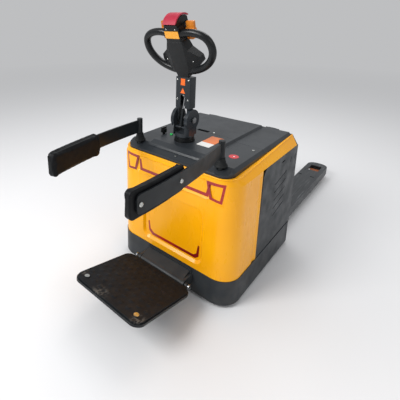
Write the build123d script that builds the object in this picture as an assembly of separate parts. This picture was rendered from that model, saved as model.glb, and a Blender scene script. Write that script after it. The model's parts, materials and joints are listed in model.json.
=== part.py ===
from build123d import *
import math
import os

# Electric pallet truck with a folding platform and folding side arms.
# X is across the truck (right is plus), minus Y is the operator's side,
# plus Y is the fork side, Z is up from the floor. All sizes are millimetres.
# Pieces are drawn with y = 0 at the operator's face of the body, and every
# piece is moved by the same amount when it is written, so that the origin
# is on the floor under the middle of the truck's overall length.

# ---- overall sizes ----
body_width = 734.0
body_length = 752.0
fork_reach = 1096.0          # fork length behind the carriage plate
platform_length = 415.0
column_height = 162.0

# ---- body ----
skirt_bottom = 20.0
skirt_top = 157.0
frame_plate = 8.0
corner_radius = 105.0
rear_radius = 26.0
cover_inset = 3.0
cover_wall = 6.0
panel_top = 658.0            # top edge of the side panels
panel_front = 276.0          # front edge of the side panels
panel_sheet = 3.0
rim_front = 686.0            # height of the yellow rim at the operator's face
rim_rear = 713.0
band_lean = 39.0             # how far the yellow band leans in at the sides
band_front_lean = 11.0
deck_height = 727.0
deck_gap = 0.5
lid_seam = 371.0             # seam between top cover and battery lid
plateau_rise = 14.0
step_height = 565.0          # crease on the front, above it the face stands out
scoop_depth = 11.0
scoop_half = 262.0
flute_radius = 60.0          # upright hollow beside each side panel
flute_depth = 4.0
rim_round = 3.0
band_recess = 7.0            # depth of the hollow behind the upper stripe
patch_recess = 3.0           # depth of the hollow behind each corner frame
film = 0.8

# ---- tiller ----
tiller_x = -50.0
tiller_y = 190.0
pivot_height = 861.0
ring_radius = 53.0
ring_height = 12.0
cheek_radius = 56.0
cheek_gap = 68.0
cheek_sheet = 18.0
pin_radius = 9.0
column_width = 92.0
column_depth = 52.0
column_sheet = 4.0
column_base = 922.0
head_lean = 25.0
loop_radius = 18.0
crown_radius = 61.0
head_half = 45.0             # half the width of the head's upper block
thumb_y = 56.0               # axis of the thumb wings in the head
thumb_z = 234.0
running_fit = 0.05           # radial gap of pins and shafts that turn

# ---- side arms ----
post_x = 252.0
post_y = 56.0
post_radius = 15.0
socket_top = 690.0
arm_top = 842.0
arm_height = 70.0
arm_sheet = 8.0
arm_length = 590.0
pad_height = 112.0
pad_sheet = 32.0
pad_over = 26.0              # how far the pad runs past the bar's end
left_arm_turn = 10.0         # the left arm stands this far folded in

# ---- platform ----
platform_x = 10.0
hinge_y = -62.0
hinge_height = 100.0
platform_tilt = 14.0
platform_width = 420.0
platform_start = 28.0
plate_sheet = 10.0
mat_sheet = 8.0
hinge_pin_radius = 8.0
hinge_half = 150.0

# ---- forks and lifting gear ----
fork_top = 100.0
fork_height = 62.0
fork_width = 158.0
fork_centre = 218.0
fork_sheet = 8.0
carriage_sheet = 16.0
rail_depth = 40.0
rail_width = 56.0
rail_x = 150.0
rail_top = 560.0
roller_radius = 40.0
roller_width = 80.0
roller_space = 86.0
axle_radius = 8.0
arm_pivot_height = 62.0
arm_reach = 200.0
window_reach = 60.0          # half the length of the roller window
window_ahead = 25.0          # from the bogie's axle to the middle of the window
window_half = 43.0
cylinder_radius = 30.0
rod_radius = 18.0
rod_top = 374.0

# ---- drive and casters ----
drive_y = 200.0
wheel_radius = 115.0
wheel_width = 72.0
slew_radius = 105.0
bridge_height = 312.0
caster_x = 240.0
caster_y = 150.0
caster_radius = 57.5
caster_trail = 38.0
caster_width = 42.0

# ---- places worked out from the sizes above ----
rail_y = body_length + rail_depth
carriage_y = rail_y + 4.0
fork_start = carriage_y + carriage_sheet
fork_tip = fork_start + fork_reach
arm_pivot_y = fork_tip - 355.0
bogie_y = arm_pivot_y + arm_reach
fork_bottom = fork_top - fork_height
plateau_top = deck_height + plateau_rise
turret_base = plateau_top + 2 * ring_height
column_top = column_base + column_height
column_front = tiller_y - column_depth / 2
head_place = Pos(tiller_x, column_front, column_top) * Rot(head_lean, 0, 0)
platform_place = Pos(platform_x, hinge_y, hinge_height) * Rot(-platform_tilt, 0, 0)
arm_reach_end = post_y - arm_length - pad_over   # the right arm's pad is the foremost point
y_middle = (fork_tip + arm_reach_end) / 2
rod_height = arm_pivot_height - 6.0
crank_height = arm_pivot_height - 26.0
spring_foot_y = tiller_y - 36.0
spring_foot_z = pivot_height - 40.0
spring_head_y = tiller_y - 4.0
spring_head_z = pivot_height + 128.0

pieces = {}


def block(x0, x1, y0, y1, z0, z1):
    """A box given by its low and high corners."""
    middle = Pos((x0 + x1) / 2, (y0 + y1) / 2, (z0 + z1) / 2)
    return middle * Box(x1 - x0, y1 - y0, z1 - z0)


def across(x0, x1, y, z, radius):
    """A round bar along X."""
    bar = Cylinder(radius, x1 - x0, rotation=(0, 90, 0))
    return Pos((x0 + x1) / 2, y, z) * bar


def upright(x, y, z0, z1, radius):
    """A round bar along Z."""
    return Pos(x, y, (z0 + z1) / 2) * Cylinder(radius, z1 - z0)


def along(x, z, y0, y1, radius):
    """A round bar along Y."""
    return Pos(x, (y0 + y1) / 2, z) * Cylinder(radius, y1 - y0, rotation=(90, 0, 0))


def mirrored(shape):
    return mirror(shape, about=Plane.YZ)


def plan(inset, front=None, z=0.0, rear=0.0):
    """The body's outline from above, pulled in by inset, with round corners."""
    front = inset if front is None else front
    half = body_width / 2 - inset
    length = body_length - rear - front
    face = Pos(0, front + length / 2, z) * Rectangle(2 * half, length)
    corners = face.vertices().sort_by(Axis.Y)
    face = fillet(corners[:2], max(corner_radius - inset, 20.0))
    corners = face.vertices().sort_by(Axis.Y)
    return fillet(corners[-2:], max(rear_radius - inset, 3.0))


def prism(points, plane, depth):
    """A flat outline pushed out by depth along the plane's normal."""
    outline = make_face(Polyline(*points, close=True))
    return extrude(plane * outline, depth)


# ================= chassis =================

def chassis_frame():
    skirt = extrude(plan(0, z=skirt_bottom), skirt_top - skirt_bottom)
    skirt -= extrude(plan(frame_plate, z=skirt_bottom - 1, rear=frame_plate), skirt_top)
    deck = extrude(plan(frame_plate, z=skirt_top - frame_plate, rear=frame_plate), frame_plate)
    deck -= block(-150, 150, 40, 350, 0, 200)
    bridge = block(-158, 158, 60, 340, bridge_height - frame_plate, bridge_height)
    bridge -= upright(0, drive_y, 0, 400, slew_radius - 20)
    for side in (-1, 1):
        wall = block(150, 158, 60, 340, skirt_top - frame_plate, bridge_height)
        bridge += wall if side > 0 else mirrored(wall)
    frame = skirt + deck + bridge
    rail = block(rail_x - rail_width / 2, rail_x + rail_width / 2, body_length, rail_y,
                 skirt_bottom + 20, rail_top)
    rail -= block(rail_x - rail_width / 2 + 6, rail_x + rail_width / 2 - 6, body_length + 6,
                  rail_y - 6, 0, rail_top + 1)
    rail -= block(rail_x - 11, rail_x + 11, rail_y - 8, rail_y + 1, 0, rail_top + 1)
    rail += block(rail_x - 24, rail_x + 24, body_length - 4, body_length + 4, 60, skirt_top - 10)
    seat = block(-42, 42, body_length - 1, body_length + 70, 34, 46)
    pillar = block(post_x - 22, post_x + 22, post_y - 22, post_y + 22, skirt_top - 1, socket_top)
    pillar -= upright(post_x, post_y, socket_top - 46, socket_top + 1, post_radius + running_fit)
    return frame + rail + mirrored(rail) + seat + pillar + mirrored(pillar)


def slew_ring():
    z0 = bridge_height
    ring = upright(0, drive_y, z0, z0 + 16, slew_radius)
    return ring - upright(0, drive_y, z0 - 1, z0 + 20, slew_radius - 25)


def drive_housing():
    """Turning gear case: a neck in the slewing ring and a leg beside the wheel."""
    neck = upright(0, drive_y, 262, bridge_height + 22, slew_radius - 25 - 0.3)
    leg = block(-104, -wheel_width / 2 - 6, drive_y - 45, drive_y + 45, 80, 270)
    leg = fillet(leg.edges().filter_by(Axis.X), 30)
    flange = upright(0, drive_y, bridge_height + 16.3, bridge_height + 24, slew_radius - 4)
    axle = across(-90, wheel_width / 2 + 4, drive_y, wheel_radius, 17)
    return neck + leg + flange + axle


def drive_motor():
    z0 = bridge_height + 24
    motor = upright(0, drive_y, z0, z0 + 170, 76)
    brake = upright(0, drive_y, z0 + 170, z0 + 205, 52)
    for turn in range(0, 360, 20):
        angle = math.radians(turn)
        fin = block(74, 81, -2, 2, z0 + 20, z0 + 150)
        motor += Pos(0, drive_y, 0) * Rot(0, 0, turn) * fin
    return motor + brake


def drive_wheel():
    half = wheel_width / 2
    tyre = across(-half, half, drive_y, wheel_radius, wheel_radius)
    tyre = fillet(tyre.edges().filter_by(GeomType.CIRCLE), 8)
    tyre -= across(-half - 1, half + 1, drive_y, wheel_radius, 17 + running_fit)
    for side in (-1, 1):
        face = across(side * half - 8, side * half + 8, drive_y, wheel_radius, 82)
        tyre -= face - across(-half - 9, half + 9, drive_y, wheel_radius, 32)
    return tyre


def caster_fork(side):
    """Swivel head with two cheeks and the axle, trailing behind its swivel axis."""
    x = side * caster_x
    y = caster_y
    wheel_y = y + caster_trail
    head = upright(x, y, 126, skirt_top - frame_plate - 0.3, 34)
    half = caster_width / 2 + 3
    top = block(x - half - 5, x + half + 5, y - 34, wheel_y + 14, 120, 127)
    fork = head + top
    for s in (-1, 1):
        inner = x + s * half
        outer = inner + s * 5
        cheek = block(min(inner, outer), max(inner, outer), wheel_y - 22, wheel_y + 14,
                      caster_radius - 14, 122)
        fork += cheek
    fork += across(x - half - 9, x + half + 9, wheel_y, caster_radius, 7)
    return fork


def caster_wheel(side):
    x = side * caster_x
    y = caster_y + caster_trail
    half = caster_width / 2
    wheel = across(x - half, x + half, y, caster_radius, caster_radius)
    wheel = fillet(wheel.edges().filter_by(GeomType.CIRCLE), 7)
    return wheel - across(x - half - 1, x + half + 1, y, caster_radius, 7 + running_fit)


def battery():
    box = block(-300, 300, 390, 716, skirt_top, 610)
    box = chamfer(box.edges().filter_by(Axis.Z), 8)
    for row in range(3):
        for column in range(8):
            x = -262 + column * 75
            y = 445 + row * 108
            box += upright(x, y, 609, 622, 16)
    return box


def hydraulic_unit():
    tank = block(-335, -205, 232, 362, skirt_top, 300)
    tank = fillet(tank.edges().filter_by(Axis.Z), 14)
    return tank + upright(-270, 297, 299, 330, 36) + upright(-270, 297, 329, 470, 54)


def controller():
    case = block(205, 335, 232, 362, skirt_top, 215)
    for row in range(8):
        x = 211 + row * 16.5
        case += block(x, x + 5, 236, 358, 214, 250)
    return case


# ================= covers =================

def cover_body(inset, front):
    """The covers' closed outer form, straight to the panel top and leaning in above."""
    lower = extrude(plan(inset, front=front, z=skirt_top), panel_top - skirt_top)
    low = plan(inset, front=front, z=panel_top)
    high = plan(inset + band_lean, front=front + band_front_lean, z=rim_rear + 1)
    return lower + loft([low, high])


def rim_cut(drop):
    """Everything above the rim's slope, lowered by drop."""
    points = [(-20, rim_front - drop), (body_length + 20, rim_rear - drop),
              (body_length + 20, 900), (-20, 900)]
    return prism(points, Plane(origin=(-500, 0, 0), x_dir=(0, 1, 0), z_dir=(1, 0, 0)), 1000)


def deck_plan(inset, z):
    return plan(body_width / 2 - 322 + inset, front=14 + inset, z=z,
                rear=frame_plate + 1 + inset)


def front_scoop():
    """A shallow hollow in the lower front face, deepest under the crease."""
    radius = (scoop_half ** 2 + scoop_depth ** 2) / (2 * scoop_depth)
    height = step_height - skirt_top - 45
    lean = math.degrees(math.atan(scoop_depth / height))
    drum = Cylinder(radius, 3 * height)
    drum = Pos(0, cover_inset + scoop_depth - radius, step_height) * Rot(-lean, 0, 0) * drum
    return drum & block(-scoop_half, scoop_half, -20, 60, skirt_top + 40, step_height)


def corner_ring(outer, inner):
    """A thin upright skin of the cover's outline between two depths."""
    ring = extrude(plan(cover_inset + outer, z=540), 150)
    return ring - extrude(plan(cover_inset + inner, z=530), 170)


def corner_patch(points):
    """A flat outline pushed through the right front corner; X runs round the corner."""
    corner = Plane(origin=(body_width / 2, 0, 0), x_dir=(1, 1, 0), z_dir=(1, -1, 0))
    turned = [(x - 70, z) for x, z in points]
    return prism(turned, corner.offset(-200), 300)


def front_cover():
    cover = cover_body(cover_inset, cover_inset) - rim_cut(0)
    cover = fillet(cover.faces().sort_by(Axis.Z)[-1].edges(), rim_round)
    cover -= cover_body(cover_inset + cover_wall, cover_inset + 15) - rim_cut(cover_wall)
    cover -= extrude(deck_plan(-deck_gap, 600), 200)
    cover -= block(-500, 500, panel_front - 1, body_length + 5, 0, panel_top + 1)
    cover -= block(-500, 500, body_length - frame_plate - 0.5, body_length + 5, 0, 900)
    cover -= front_scoop()
    # hollow with the lower stripe
    low = Plane(origin=(13, cover_inset - 1, 345), x_dir=(1, 0, 0), z_dir=(0, 1, 0))
    wide = low * RectangleRounded(392, 316, 46)
    narrow = low.offset(13) * RectangleRounded(366, 290, 36)
    cover -= loft([wide, narrow])
    # hollow with the upper stripe
    high = Plane(origin=(14, cover_inset - 1, 616), x_dir=(1, 0, 0), z_dir=(0, 1, 0))
    floor = high.offset(band_recess + 1)
    cover -= loft([high * RectangleRounded(492, 98, 16), floor * RectangleRounded(476, 82, 12)])
    patch = corner_ring(-1.0, patch_recess) & corner_patch([(-46, 668), (50, 672), (36, 556), (-31, 562)])
    cover -= patch + mirrored(patch)
    for side in (-1, 1):
        x = side * (body_width / 2 - cover_inset + flute_radius - flute_depth)
        cover -= upright(x, panel_front - 30, skirt_top - 1, panel_top - 22, flute_radius)
    return cover


def side_panel():
    """Flat steel panel with five slanting slots; the upper front corner is round."""
    x1 = body_width / 2 - cover_inset
    plane = Plane(origin=(x1 - panel_sheet, 0, 0), x_dir=(0, 1, 0), z_dir=(1, 0, 0))
    face = make_face(Polyline((panel_front, skirt_top), (body_length, skirt_top),
                              (body_length, panel_top), (panel_front + 12, panel_top), close=True))
    corners = face.vertices().sort_by(Axis.X)
    face = fillet(corners.sort_by(Axis.Y)[-2:].sort_by(Axis.X)[:1], 48)
    panel = extrude(plane * face, panel_sheet)
    for row in range(5):
        slot = Rot(0, 0, 11) * SlotOverall(156, 5)
        slot = Pos(body_length - 226, 530 - 47.5 * row) * slot
        panel -= extrude(plane * slot, 20, both=True)
    # slits for the panel's catches near the upper rear corner
    for y in (body_length - 97, body_length - 32):
        panel -= block(x1 - 20, x1 + 5, y - 4, y + 4, panel_top - 78, panel_top - 46)
    panel -= block(x1 - 20, x1 + 5, body_length - 232, body_length - 188, panel_top - 41, panel_top - 34)
    lip = block(x1 - 22, x1 - panel_sheet, panel_front + 20, body_length - 12, skirt_top, skirt_top + 3)
    return panel + lip


def rear_panel():
    """Steel rear wall with two ears that carry the lid's hinge pins."""
    half = body_width / 2 - cover_inset - panel_sheet
    wall = block(-half, half, body_length - frame_plate, body_length, skirt_top, panel_top)
    plane = Plane(origin=(0, body_length, 0), x_dir=(-1, 0, 0), z_dir=(0, 1, 0))
    top = half - 36
    wall += prism([(-half, panel_top - 1), (half, panel_top - 1), (top, rim_rear),
                   (-top, rim_rear)], plane, -frame_plate)
    for x in (-200, 200):
        for x0 in (x - 40, x + 32):
            wall += block(x0, x0 + 8, body_length - frame_plate, body_length + 16, 690, 714)
            wall += across(x0, x0 + 8, body_length + 8, 714, 8)
        wall += across(x - 40, x + 40, body_length + 8, 714, 4)
    return wall


def deck_solid(inset):
    """The deck's full outer form: bevelled edge, sloped front and the raised middle."""
    edge = extrude(deck_plan(inset, 668), rim_rear - 668 - 4)
    crown = extrude(deck_plan(inset, rim_rear - 4), deck_height - inset - rim_rear + 4, taper=32)
    points = [(-20, rim_front + 13 - inset), (20, rim_front + 13 - inset),
              (70, deck_height - inset), (70, 900), (-20, 900)]
    plane = Plane(origin=(-500, 0, 0), x_dir=(0, 1, 0), z_dir=(1, 0, 0))
    deck = edge + crown - prism(points, plane, 1000)
    middle = make_face(Polyline((-190 + inset, 50 + inset), (156 - inset, 50 + inset),
                                (165 - inset, body_length - 34), (-226 + inset, body_length - 34),
                                close=True))
    rise = extrude(Pos(0, 0, deck_height - 8) * middle, plateau_rise + 8 - inset, taper=30)
    rise -= prism([(0, deck_height - 8), (62 + inset, deck_height + 2 - inset),
                   (96 + inset, plateau_top + 1), (0, plateau_top + 1)], plane, 1000)
    return deck + rise


def deck_shell():
    return deck_solid(0) - deck_solid(cover_wall)


def top_cover():
    cover = deck_shell() - block(-500, 500, lid_seam, 900, 0, 900)
    cover -= upright(tiller_x, tiller_y, 0, 900, ring_radius - 20)
    for side in (-1, 1):
        cover -= upright(side * post_x, post_y, 0, 900, post_radius + 3)
    cover -= upright(-205, 205, 0, 900, 8 + running_fit)
    cover -= upright(-150, 205, 0, 900, 6.3)
    for x, y in screw_places():
        if y < lid_seam:
            cover -= upright(x, y, 600, 900, 3.2) + upright(x, y, deck_level(x, y), 900, 7)
    return cover


def battery_lid():
    lid = deck_shell() - block(-500, 500, -50, lid_seam + 1.5, 0, 900)
    lid -= block(-500, 500, 0, 900, 0, rim_front)
    lid -= block(-94, -18, lid_seam - 5, lid_seam + 28, 600, 900)
    lid -= upright(13, lid_seam + 16, 600, 900, 3.2)
    for x in (-200, 200):
        knuckle = across(x - 31.5, x + 31.5, body_length + 8, 714, 7.5)
        strap = block(x - 24, x + 24, body_length - 16, body_length + 8, 716, deck_height - 3)
        knuckle += strap
        lid += knuckle - across(x - 50, x + 50, body_length + 8, 714, 4 + running_fit)
    return lid


def screw_places():
    return [(283, 322), (-290, 322), (8, 40), (13, lid_seam + 16), (126, 300)]


def deck_level(x, y):
    """Height of the deck's upper skin at a screw."""
    if -190 < x < 156 and y > 96:
        return plateau_top
    if y < 70:
        return rim_front + 13 + (deck_height - rim_front - 13) * max(y - 20, 0) / 50
    return deck_height


def cover_screws():
    group = None
    for x, y in screw_places():
        if y > lid_seam:
            continue
        z = deck_level(x, y)
        screw = upright(x, y, z - 14, z + 3, 3) + upright(x, y, z + 0.3, z + 3, 6.5)
        group = screw if group is None else group + screw
    return group


def deck_labels():
    """A plain oblong label on the raised middle and a round one beside it."""
    plate = block(36, 112, 176, 334, plateau_top, plateau_top + 1)
    plate = fillet(plate.edges().filter_by(Axis.Z), 4)
    return plate + upright(245, 190, deck_height, deck_height + 0.8, 24)


def key_knob():
    knob = upright(-205, 205, plateau_top - 16, plateau_top + 8, 8)
    knob += upright(-205, 205, plateau_top + 4, plateau_top + 26, 17)
    return knob + block(-209, -201, 186, 224, plateau_top + 20, plateau_top + 33)


def charge_lamp():
    lamp = upright(-150, 205, plateau_top - 10, plateau_top, 6)
    dome = Pos(-150, 205, plateau_top) * Sphere(9)
    return lamp + (dome & upright(-150, 205, plateau_top, plateau_top + 20, 10))


def stripe(points, y, sheet):
    plane = Plane(origin=(0, y, 0), x_dir=(1, 0, 0), z_dir=(0, -1, 0))
    return prism(points, plane, sheet)


def front_stripes():
    """Thin printed bands: two U shapes on the front and a frame on each front corner."""
    upper = stripe([(-212, 644), (-200, 642), (-190, 594), (210, 594), (224, 650), (236, 652),
                    (222, 578), (-206, 578)], cover_inset + band_recess, film)
    lower = stripe([(-152, 290), (-143, 290), (-136, 244), (-112, 226), (150, 226), (168, 240),
                    (176, 290), (185, 290), (182, 228), (162, 210), (-124, 210), (-146, 232)],
                   cover_inset + 12, film)
    frame = corner_patch([(-36, 660), (40, 664), (27, 566), (-22, 572)])
    frame -= corner_patch([(-25, 646), (28, 650), (18, 580), (-14, 584)])
    right = corner_ring(patch_recess - film, patch_recess) & frame
    return upper + lower + right + mirrored(right)


# ================= tiller =================

def turret_ring():
    ring = upright(tiller_x, tiller_y, plateau_top, plateau_top + ring_height, ring_radius + 3)
    ring += upright(tiller_x, tiller_y, plateau_top + ring_height, turret_base - 0.3, ring_radius - 2)
    neck = upright(tiller_x, tiller_y, plateau_top - 40, plateau_top + 1, ring_radius - 21)
    return ring + neck - upright(tiller_x, tiller_y, 0, 900, 20 + running_fit)


def steer_turret():
    """Turning clevis: a round base, two drum-like cheeks and the steering shaft."""
    base = upright(tiller_x, tiller_y, turret_base, turret_base + 34, ring_radius)
    base = fillet(base.edges().filter_by(GeomType.CIRCLE).sort_by(Axis.Z)[:1], 5)
    outer = cheek_gap / 2 + cheek_sheet
    for side in (-1, 1):
        inner_x = tiller_x + side * cheek_gap / 2
        outer_x = tiller_x + side * outer
        x0, x1 = min(inner_x, outer_x), max(inner_x, outer_x)
        cheek = across(x0, x1, tiller_y, pivot_height, cheek_radius)
        web = block(x0, x1, tiller_y - 80, tiller_y + 80, turret_base + 14, pivot_height)
        web &= upright(tiller_x, tiller_y, turret_base, pivot_height, ring_radius + 9)
        base += cheek + web
    base -= block(tiller_x - cheek_gap / 2, tiller_x + cheek_gap / 2, tiller_y - 80, tiller_y + 80,
                  turret_base + 24, 1000)
    anchor = across(tiller_x - cheek_gap / 2 - 1, tiller_x + cheek_gap / 2 + 1, spring_foot_y,
                    spring_foot_z, 6)
    base += anchor
    base += upright(tiller_x, tiller_y, plateau_top - 60, turret_base + 1, 20)
    return base - across(tiller_x - 90, tiller_x + 90, tiller_y, pivot_height, pin_radius + running_fit)


def tiller_pin():
    outer = cheek_gap / 2 + cheek_sheet + 5
    pin = across(tiller_x - outer, tiller_x + outer, tiller_y, pivot_height, pin_radius)
    for side in (-1, 1):
        x = tiller_x + side * (outer + 2)
        pin += across(x - 3, x + 3, tiller_y, pivot_height, 15)
    return pin


def tiller_column():
    """Folded channel with a slotted front and two ears down to the pivot pin."""
    x0, x1 = tiller_x - column_width / 2, tiller_x + column_width / 2
    y0, y1 = column_front, column_front + column_depth
    column = block(x0, x1, y0, y1, column_base, column_top)
    column = fillet(column.edges().filter_by(Axis.Z), 5)
    column -= block(x0 + column_sheet, x1 - column_sheet, y0 + column_sheet, y1 - column_sheet,
                    column_base - 1, column_top - 6)
    for side in (-1, 1):
        inner_x = tiller_x + side * (cheek_gap / 2 - 9)
        outer_x = tiller_x + side * (cheek_gap / 2 - 1)
        a, b = min(inner_x, outer_x), max(inner_x, outer_x)
        half = column_depth / 2 - column_sheet + 1
        ear = block(a, b, tiller_y - half, tiller_y + half, pivot_height, column_top - 40)
        column += ear + across(a, b, tiller_y, pivot_height, 21)
    slot = block(tiller_x - 14, tiller_x + 14, y0 - 5, tiller_y - 8, 800, column_base + 58)
    slot += along(tiller_x, column_base + 58, y0 - 5, tiller_y - 8, 14)
    column -= slot
    column += across(tiller_x - 30, tiller_x + 30, spring_head_y, spring_head_z, 4)
    bore = across(tiller_x - 60, tiller_x + 60, tiller_y, pivot_height, pin_radius + running_fit)
    return column - bore


def spring_line():
    dy = spring_head_y - spring_foot_y
    dz = spring_head_z - spring_foot_z
    return math.hypot(dy, dz), math.degrees(math.atan2(dy, dz))


def on_spring(shape):
    """Places a shape drawn up the Z axis onto the line of the gas spring."""
    lean = spring_line()[1]
    return Pos(tiller_x, spring_foot_y, spring_foot_z) * Rot(-lean, 0, 0) * shape


def gas_spring_body():
    length = spring_line()[0]
    tube = upright(0, 0, 14, length - 72, 9)
    eye = Cylinder(10, 14, rotation=(0, 90, 0)) + block(-6, 6, -6, 6, 6, 18)
    body = tube + eye - Cylinder(6 + running_fit, 40, rotation=(0, 90, 0))
    body -= upright(0, 0, length - 153, length - 71, 4 + running_fit)
    return on_spring(body)


def gas_spring_rod():
    length = spring_line()[0]
    rod = upright(0, 0, length - 100, length - 12, 4)
    eye = Pos(0, 0, length) * Cylinder(14, 12, rotation=(0, 90, 0))
    return on_spring(rod + eye - Pos(0, 0, length) * Cylinder(10.5, 40, rotation=(0, 90, 0)))


def tiller_labels():
    y = column_front
    x = tiller_x
    tag = block(x - 13, x + 13, y - 0.8, y, column_top - 42, column_top - 8)
    plane = Plane(origin=(x, y, 0), x_dir=(1, 0, 0), z_dir=(0, -1, 0))
    base = column_base + 78
    triangle = prism([(-15, base), (15, base), (0, base + 28)], plane, 0.8)
    badge = head_place * block(-40, 40, -1.6, 0, 216, 252)
    return tag + triangle + badge


def in_head(shape):
    return head_place * shape


def shield_outline():
    """Front outline of the head: neck, two wings and the straight upper part."""
    right = [(36, 0), (41, 26), (82, 46), (118, 84), (113, 112), (62, 152), (head_half, 200)]
    return right + [(-x, z) for x, z in reversed(right)]


def head_housing():
    front = Plane(origin=(0, 0, 0), x_dir=(1, 0, 0), z_dir=(0, 1, 0))
    # the plane's own Y runs down, so heights are given with a minus sign
    points = [(x, -z) for x, z in shield_outline()]
    shield = prism(points, front, 58)
    shield = chamfer(shield.edges().filter_by(Axis.Y, reverse=True).sort_by(Axis.Y)[:13], 5)
    slant = Plane(origin=(0, 0, 22), x_dir=(1, 0, 0), z_dir=(0, 0, 1))
    wedge = prism([(head_half, -1), (140, -1), (140, 34), (head_half, 0)], slant, 172)
    shield -= wedge + mirrored(wedge)
    top = block(-head_half, head_half, 0, 88, 196, 268)
    top = fillet(top.edges().filter_by(Axis.Z), 8)
    crown = across(-37, 37, 52, 244, crown_radius) & block(-37, 37, 2, 96, 262, 330)
    housing = shield + top + crown
    neck = block(-32, 32, 0, 50, -2, 30)
    housing += neck
    housing -= across(-60, 60, thumb_y, thumb_z, 7 + running_fit)
    housing -= upright(0, 52, 244 + crown_radius - 14, 244 + crown_radius + 1, 8 + running_fit)
    for x in (-30, 0, 30):
        housing -= along(x, 216, 76, 92, 8 + 0.3)
    return in_head(housing) - block(-300, 300, 0, 400, 800, column_top)


def loop_handle(side):
    """A tube from the upper side of the head, out and down to its lower wing."""
    line = [(26, 224), (122, 236), (178, 206), (192, 150), (160, 86), (100, 46), (30, 28)]
    path = Spline(*[(side * x, loop_radius + 2, z) for x, z in line])
    tube = sweep(Plane(origin=path @ 0, z_dir=path % 0) * Circle(loop_radius), path=path)
    return in_head(tube) - pieces["head_housing"]


def reverse_button():
    """Curved red cap that follows the crown from the front over to the back."""
    cap = across(-38, 38, 52, 244, crown_radius + 11) - across(-50, 50, 52, 244, crown_radius + 4)
    cap &= block(-60, 60, -40, 118, 288, 400)
    stem = upright(0, 52, 244 + crown_radius - 8, 244 + crown_radius + 6, 8)
    return in_head(cap + stem)


def throttle():
    """Butterfly: one shaft across the head with a thumb wing at each side."""
    shaft = across(-54, 54, thumb_y, thumb_z, 7)
    wing = Cylinder(14, 46, rotation=(0, 90, 0))
    lobe = block(-20, 23, -7, 7, 0, 44) + block(-20, 16, -7, 7, -42, 0)
    # the step between the two lobes stays sharp: it is narrower than two rounds
    tips = lobe.edges().filter_by(Axis.Y).sort_by(Axis.Z)
    wing += fillet(tips[:2] + tips[-2:], 6)
    wing = Pos(73, thumb_y, thumb_z) * Rot(-10, 0, 0) * wing
    return in_head(shaft + wing + mirrored(wing))


def head_button(x):
    return in_head(along(x, 216, 78, 94, 8))


# ================= side arms =================

def arm_boots():
    """Rubber cones round the feet of the two posts."""
    group = None
    for side in (-1, 1):
        profile = make_face(Polyline((post_radius + 0.5, 0), (31, 0), (31, 6), (25, 14), (21, 34),
                                     (18, 42), (post_radius + 0.5, 42), close=True))
        cone = revolve(Plane.XZ * profile, Axis.Z)
        cone = Pos(side * post_x, post_y, deck_height) * cone
        group = cone if group is None else group + cone
    return group


def arm_strip():
    post = upright(0, 0, socket_top - 44, arm_top + 8, post_radius)
    bow = [(-4, 0), (24, -190), (38, -380), (36, -arm_length)]
    inner = Spline(*bow)
    outer = Spline(*[(x + arm_sheet, y) for x, y in bow])
    face = make_face([inner, Line(inner @ 1, outer @ 1), outer, Line(outer @ 0, inner @ 0)])
    strip = extrude(Pos(0, 0, arm_top - arm_height) * face, arm_height)
    ends = strip.edges().filter_by(Axis.X).sort_by(Axis.Y)[:2]
    strip = fillet(ends, 18)
    return post + strip


def arm_pad():
    """Foam pad on the inner face of the bar, with round corners."""
    back = [(34.0, 264 - arm_length), (37.2, 200 - arm_length), (35.4, -arm_length - pad_over)]
    near = Spline(*back)
    far = Spline(*[(x - pad_sheet, y) for x, y in back])
    face = make_face([near, Line(near @ 1, far @ 1), far, Line(far @ 0, near @ 0)])
    middle = arm_top - arm_height / 2
    pad = extrude(Pos(0, 0, middle - pad_height / 2) * face, pad_height)
    pad = fillet(pad.edges().filter_by(Axis.X), 22)
    bar = arm_strip()
    return pad - bar


def place_arm(shape, side):
    if side > 0:
        return Pos(post_x, post_y, 0) * shape
    return Pos(-post_x, post_y, 0) * Rot(0, 0, left_arm_turn) * mirrored(shape)


# ================= platform =================

def platform_bracket():
    """Plate on the skirt with two lugs, a half-round knuckle and bolt heads."""
    x0, x1 = platform_x - hinge_half, platform_x + hinge_half
    plate = block(x0 + 6, x1 - 6, -8, 0, 70, 148)
    slope = prism([(-8, 140), (-8, 92), (hinge_y + 4, 82), (hinge_y, hinge_height + 21)],
                  Plane(origin=(x0 + 14, 0, 0), x_dir=(0, 1, 0), z_dir=(1, 0, 0)),
                  2 * hinge_half - 28)
    knuckle = across(x0 + 14, x1 - 14, hinge_y, hinge_height, 21)
    part = plate + slope + knuckle
    for x in (x0, x1 - 12):
        part += block(x, x + 12, hinge_y - 4, 0, 76, 124) + across(x, x + 12, hinge_y, hinge_height, 24)
    return part - across(x0 - 20, x1 + 20, hinge_y, hinge_height, hinge_pin_radius + running_fit)


def platform_pin():
    half = hinge_half + 22
    pin = across(platform_x - half, platform_x + half, hinge_y, hinge_height, hinge_pin_radius)
    for side in (-1, 1):
        x = platform_x + side * (half + 3)
        pin += across(x - 4, x + 4, hinge_y, hinge_height, 13)
    return pin


def platform_plate():
    """Steel plate with a turned-down rim and two ears on the hinge pin."""
    y0, y1 = -platform_length, -platform_start
    plate = block(-platform_width / 2, platform_width / 2, y0, y1, -plate_sheet / 2, plate_sheet / 2)
    plate = fillet(plate.edges().filter_by(Axis.Z), 46)
    for side in (-1, 1):
        x = side * (hinge_half + 10)
        ear = block(x - 7, x + 7, -platform_start - 34, 0, -plate_sheet / 2, plate_sheet / 2)
        plate += ear + across(x - 7, x + 7, 0, 0, 16)
    plate -= across(-300, 300, 0, 0, hinge_pin_radius + running_fit)
    return platform_place * plate


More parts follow.
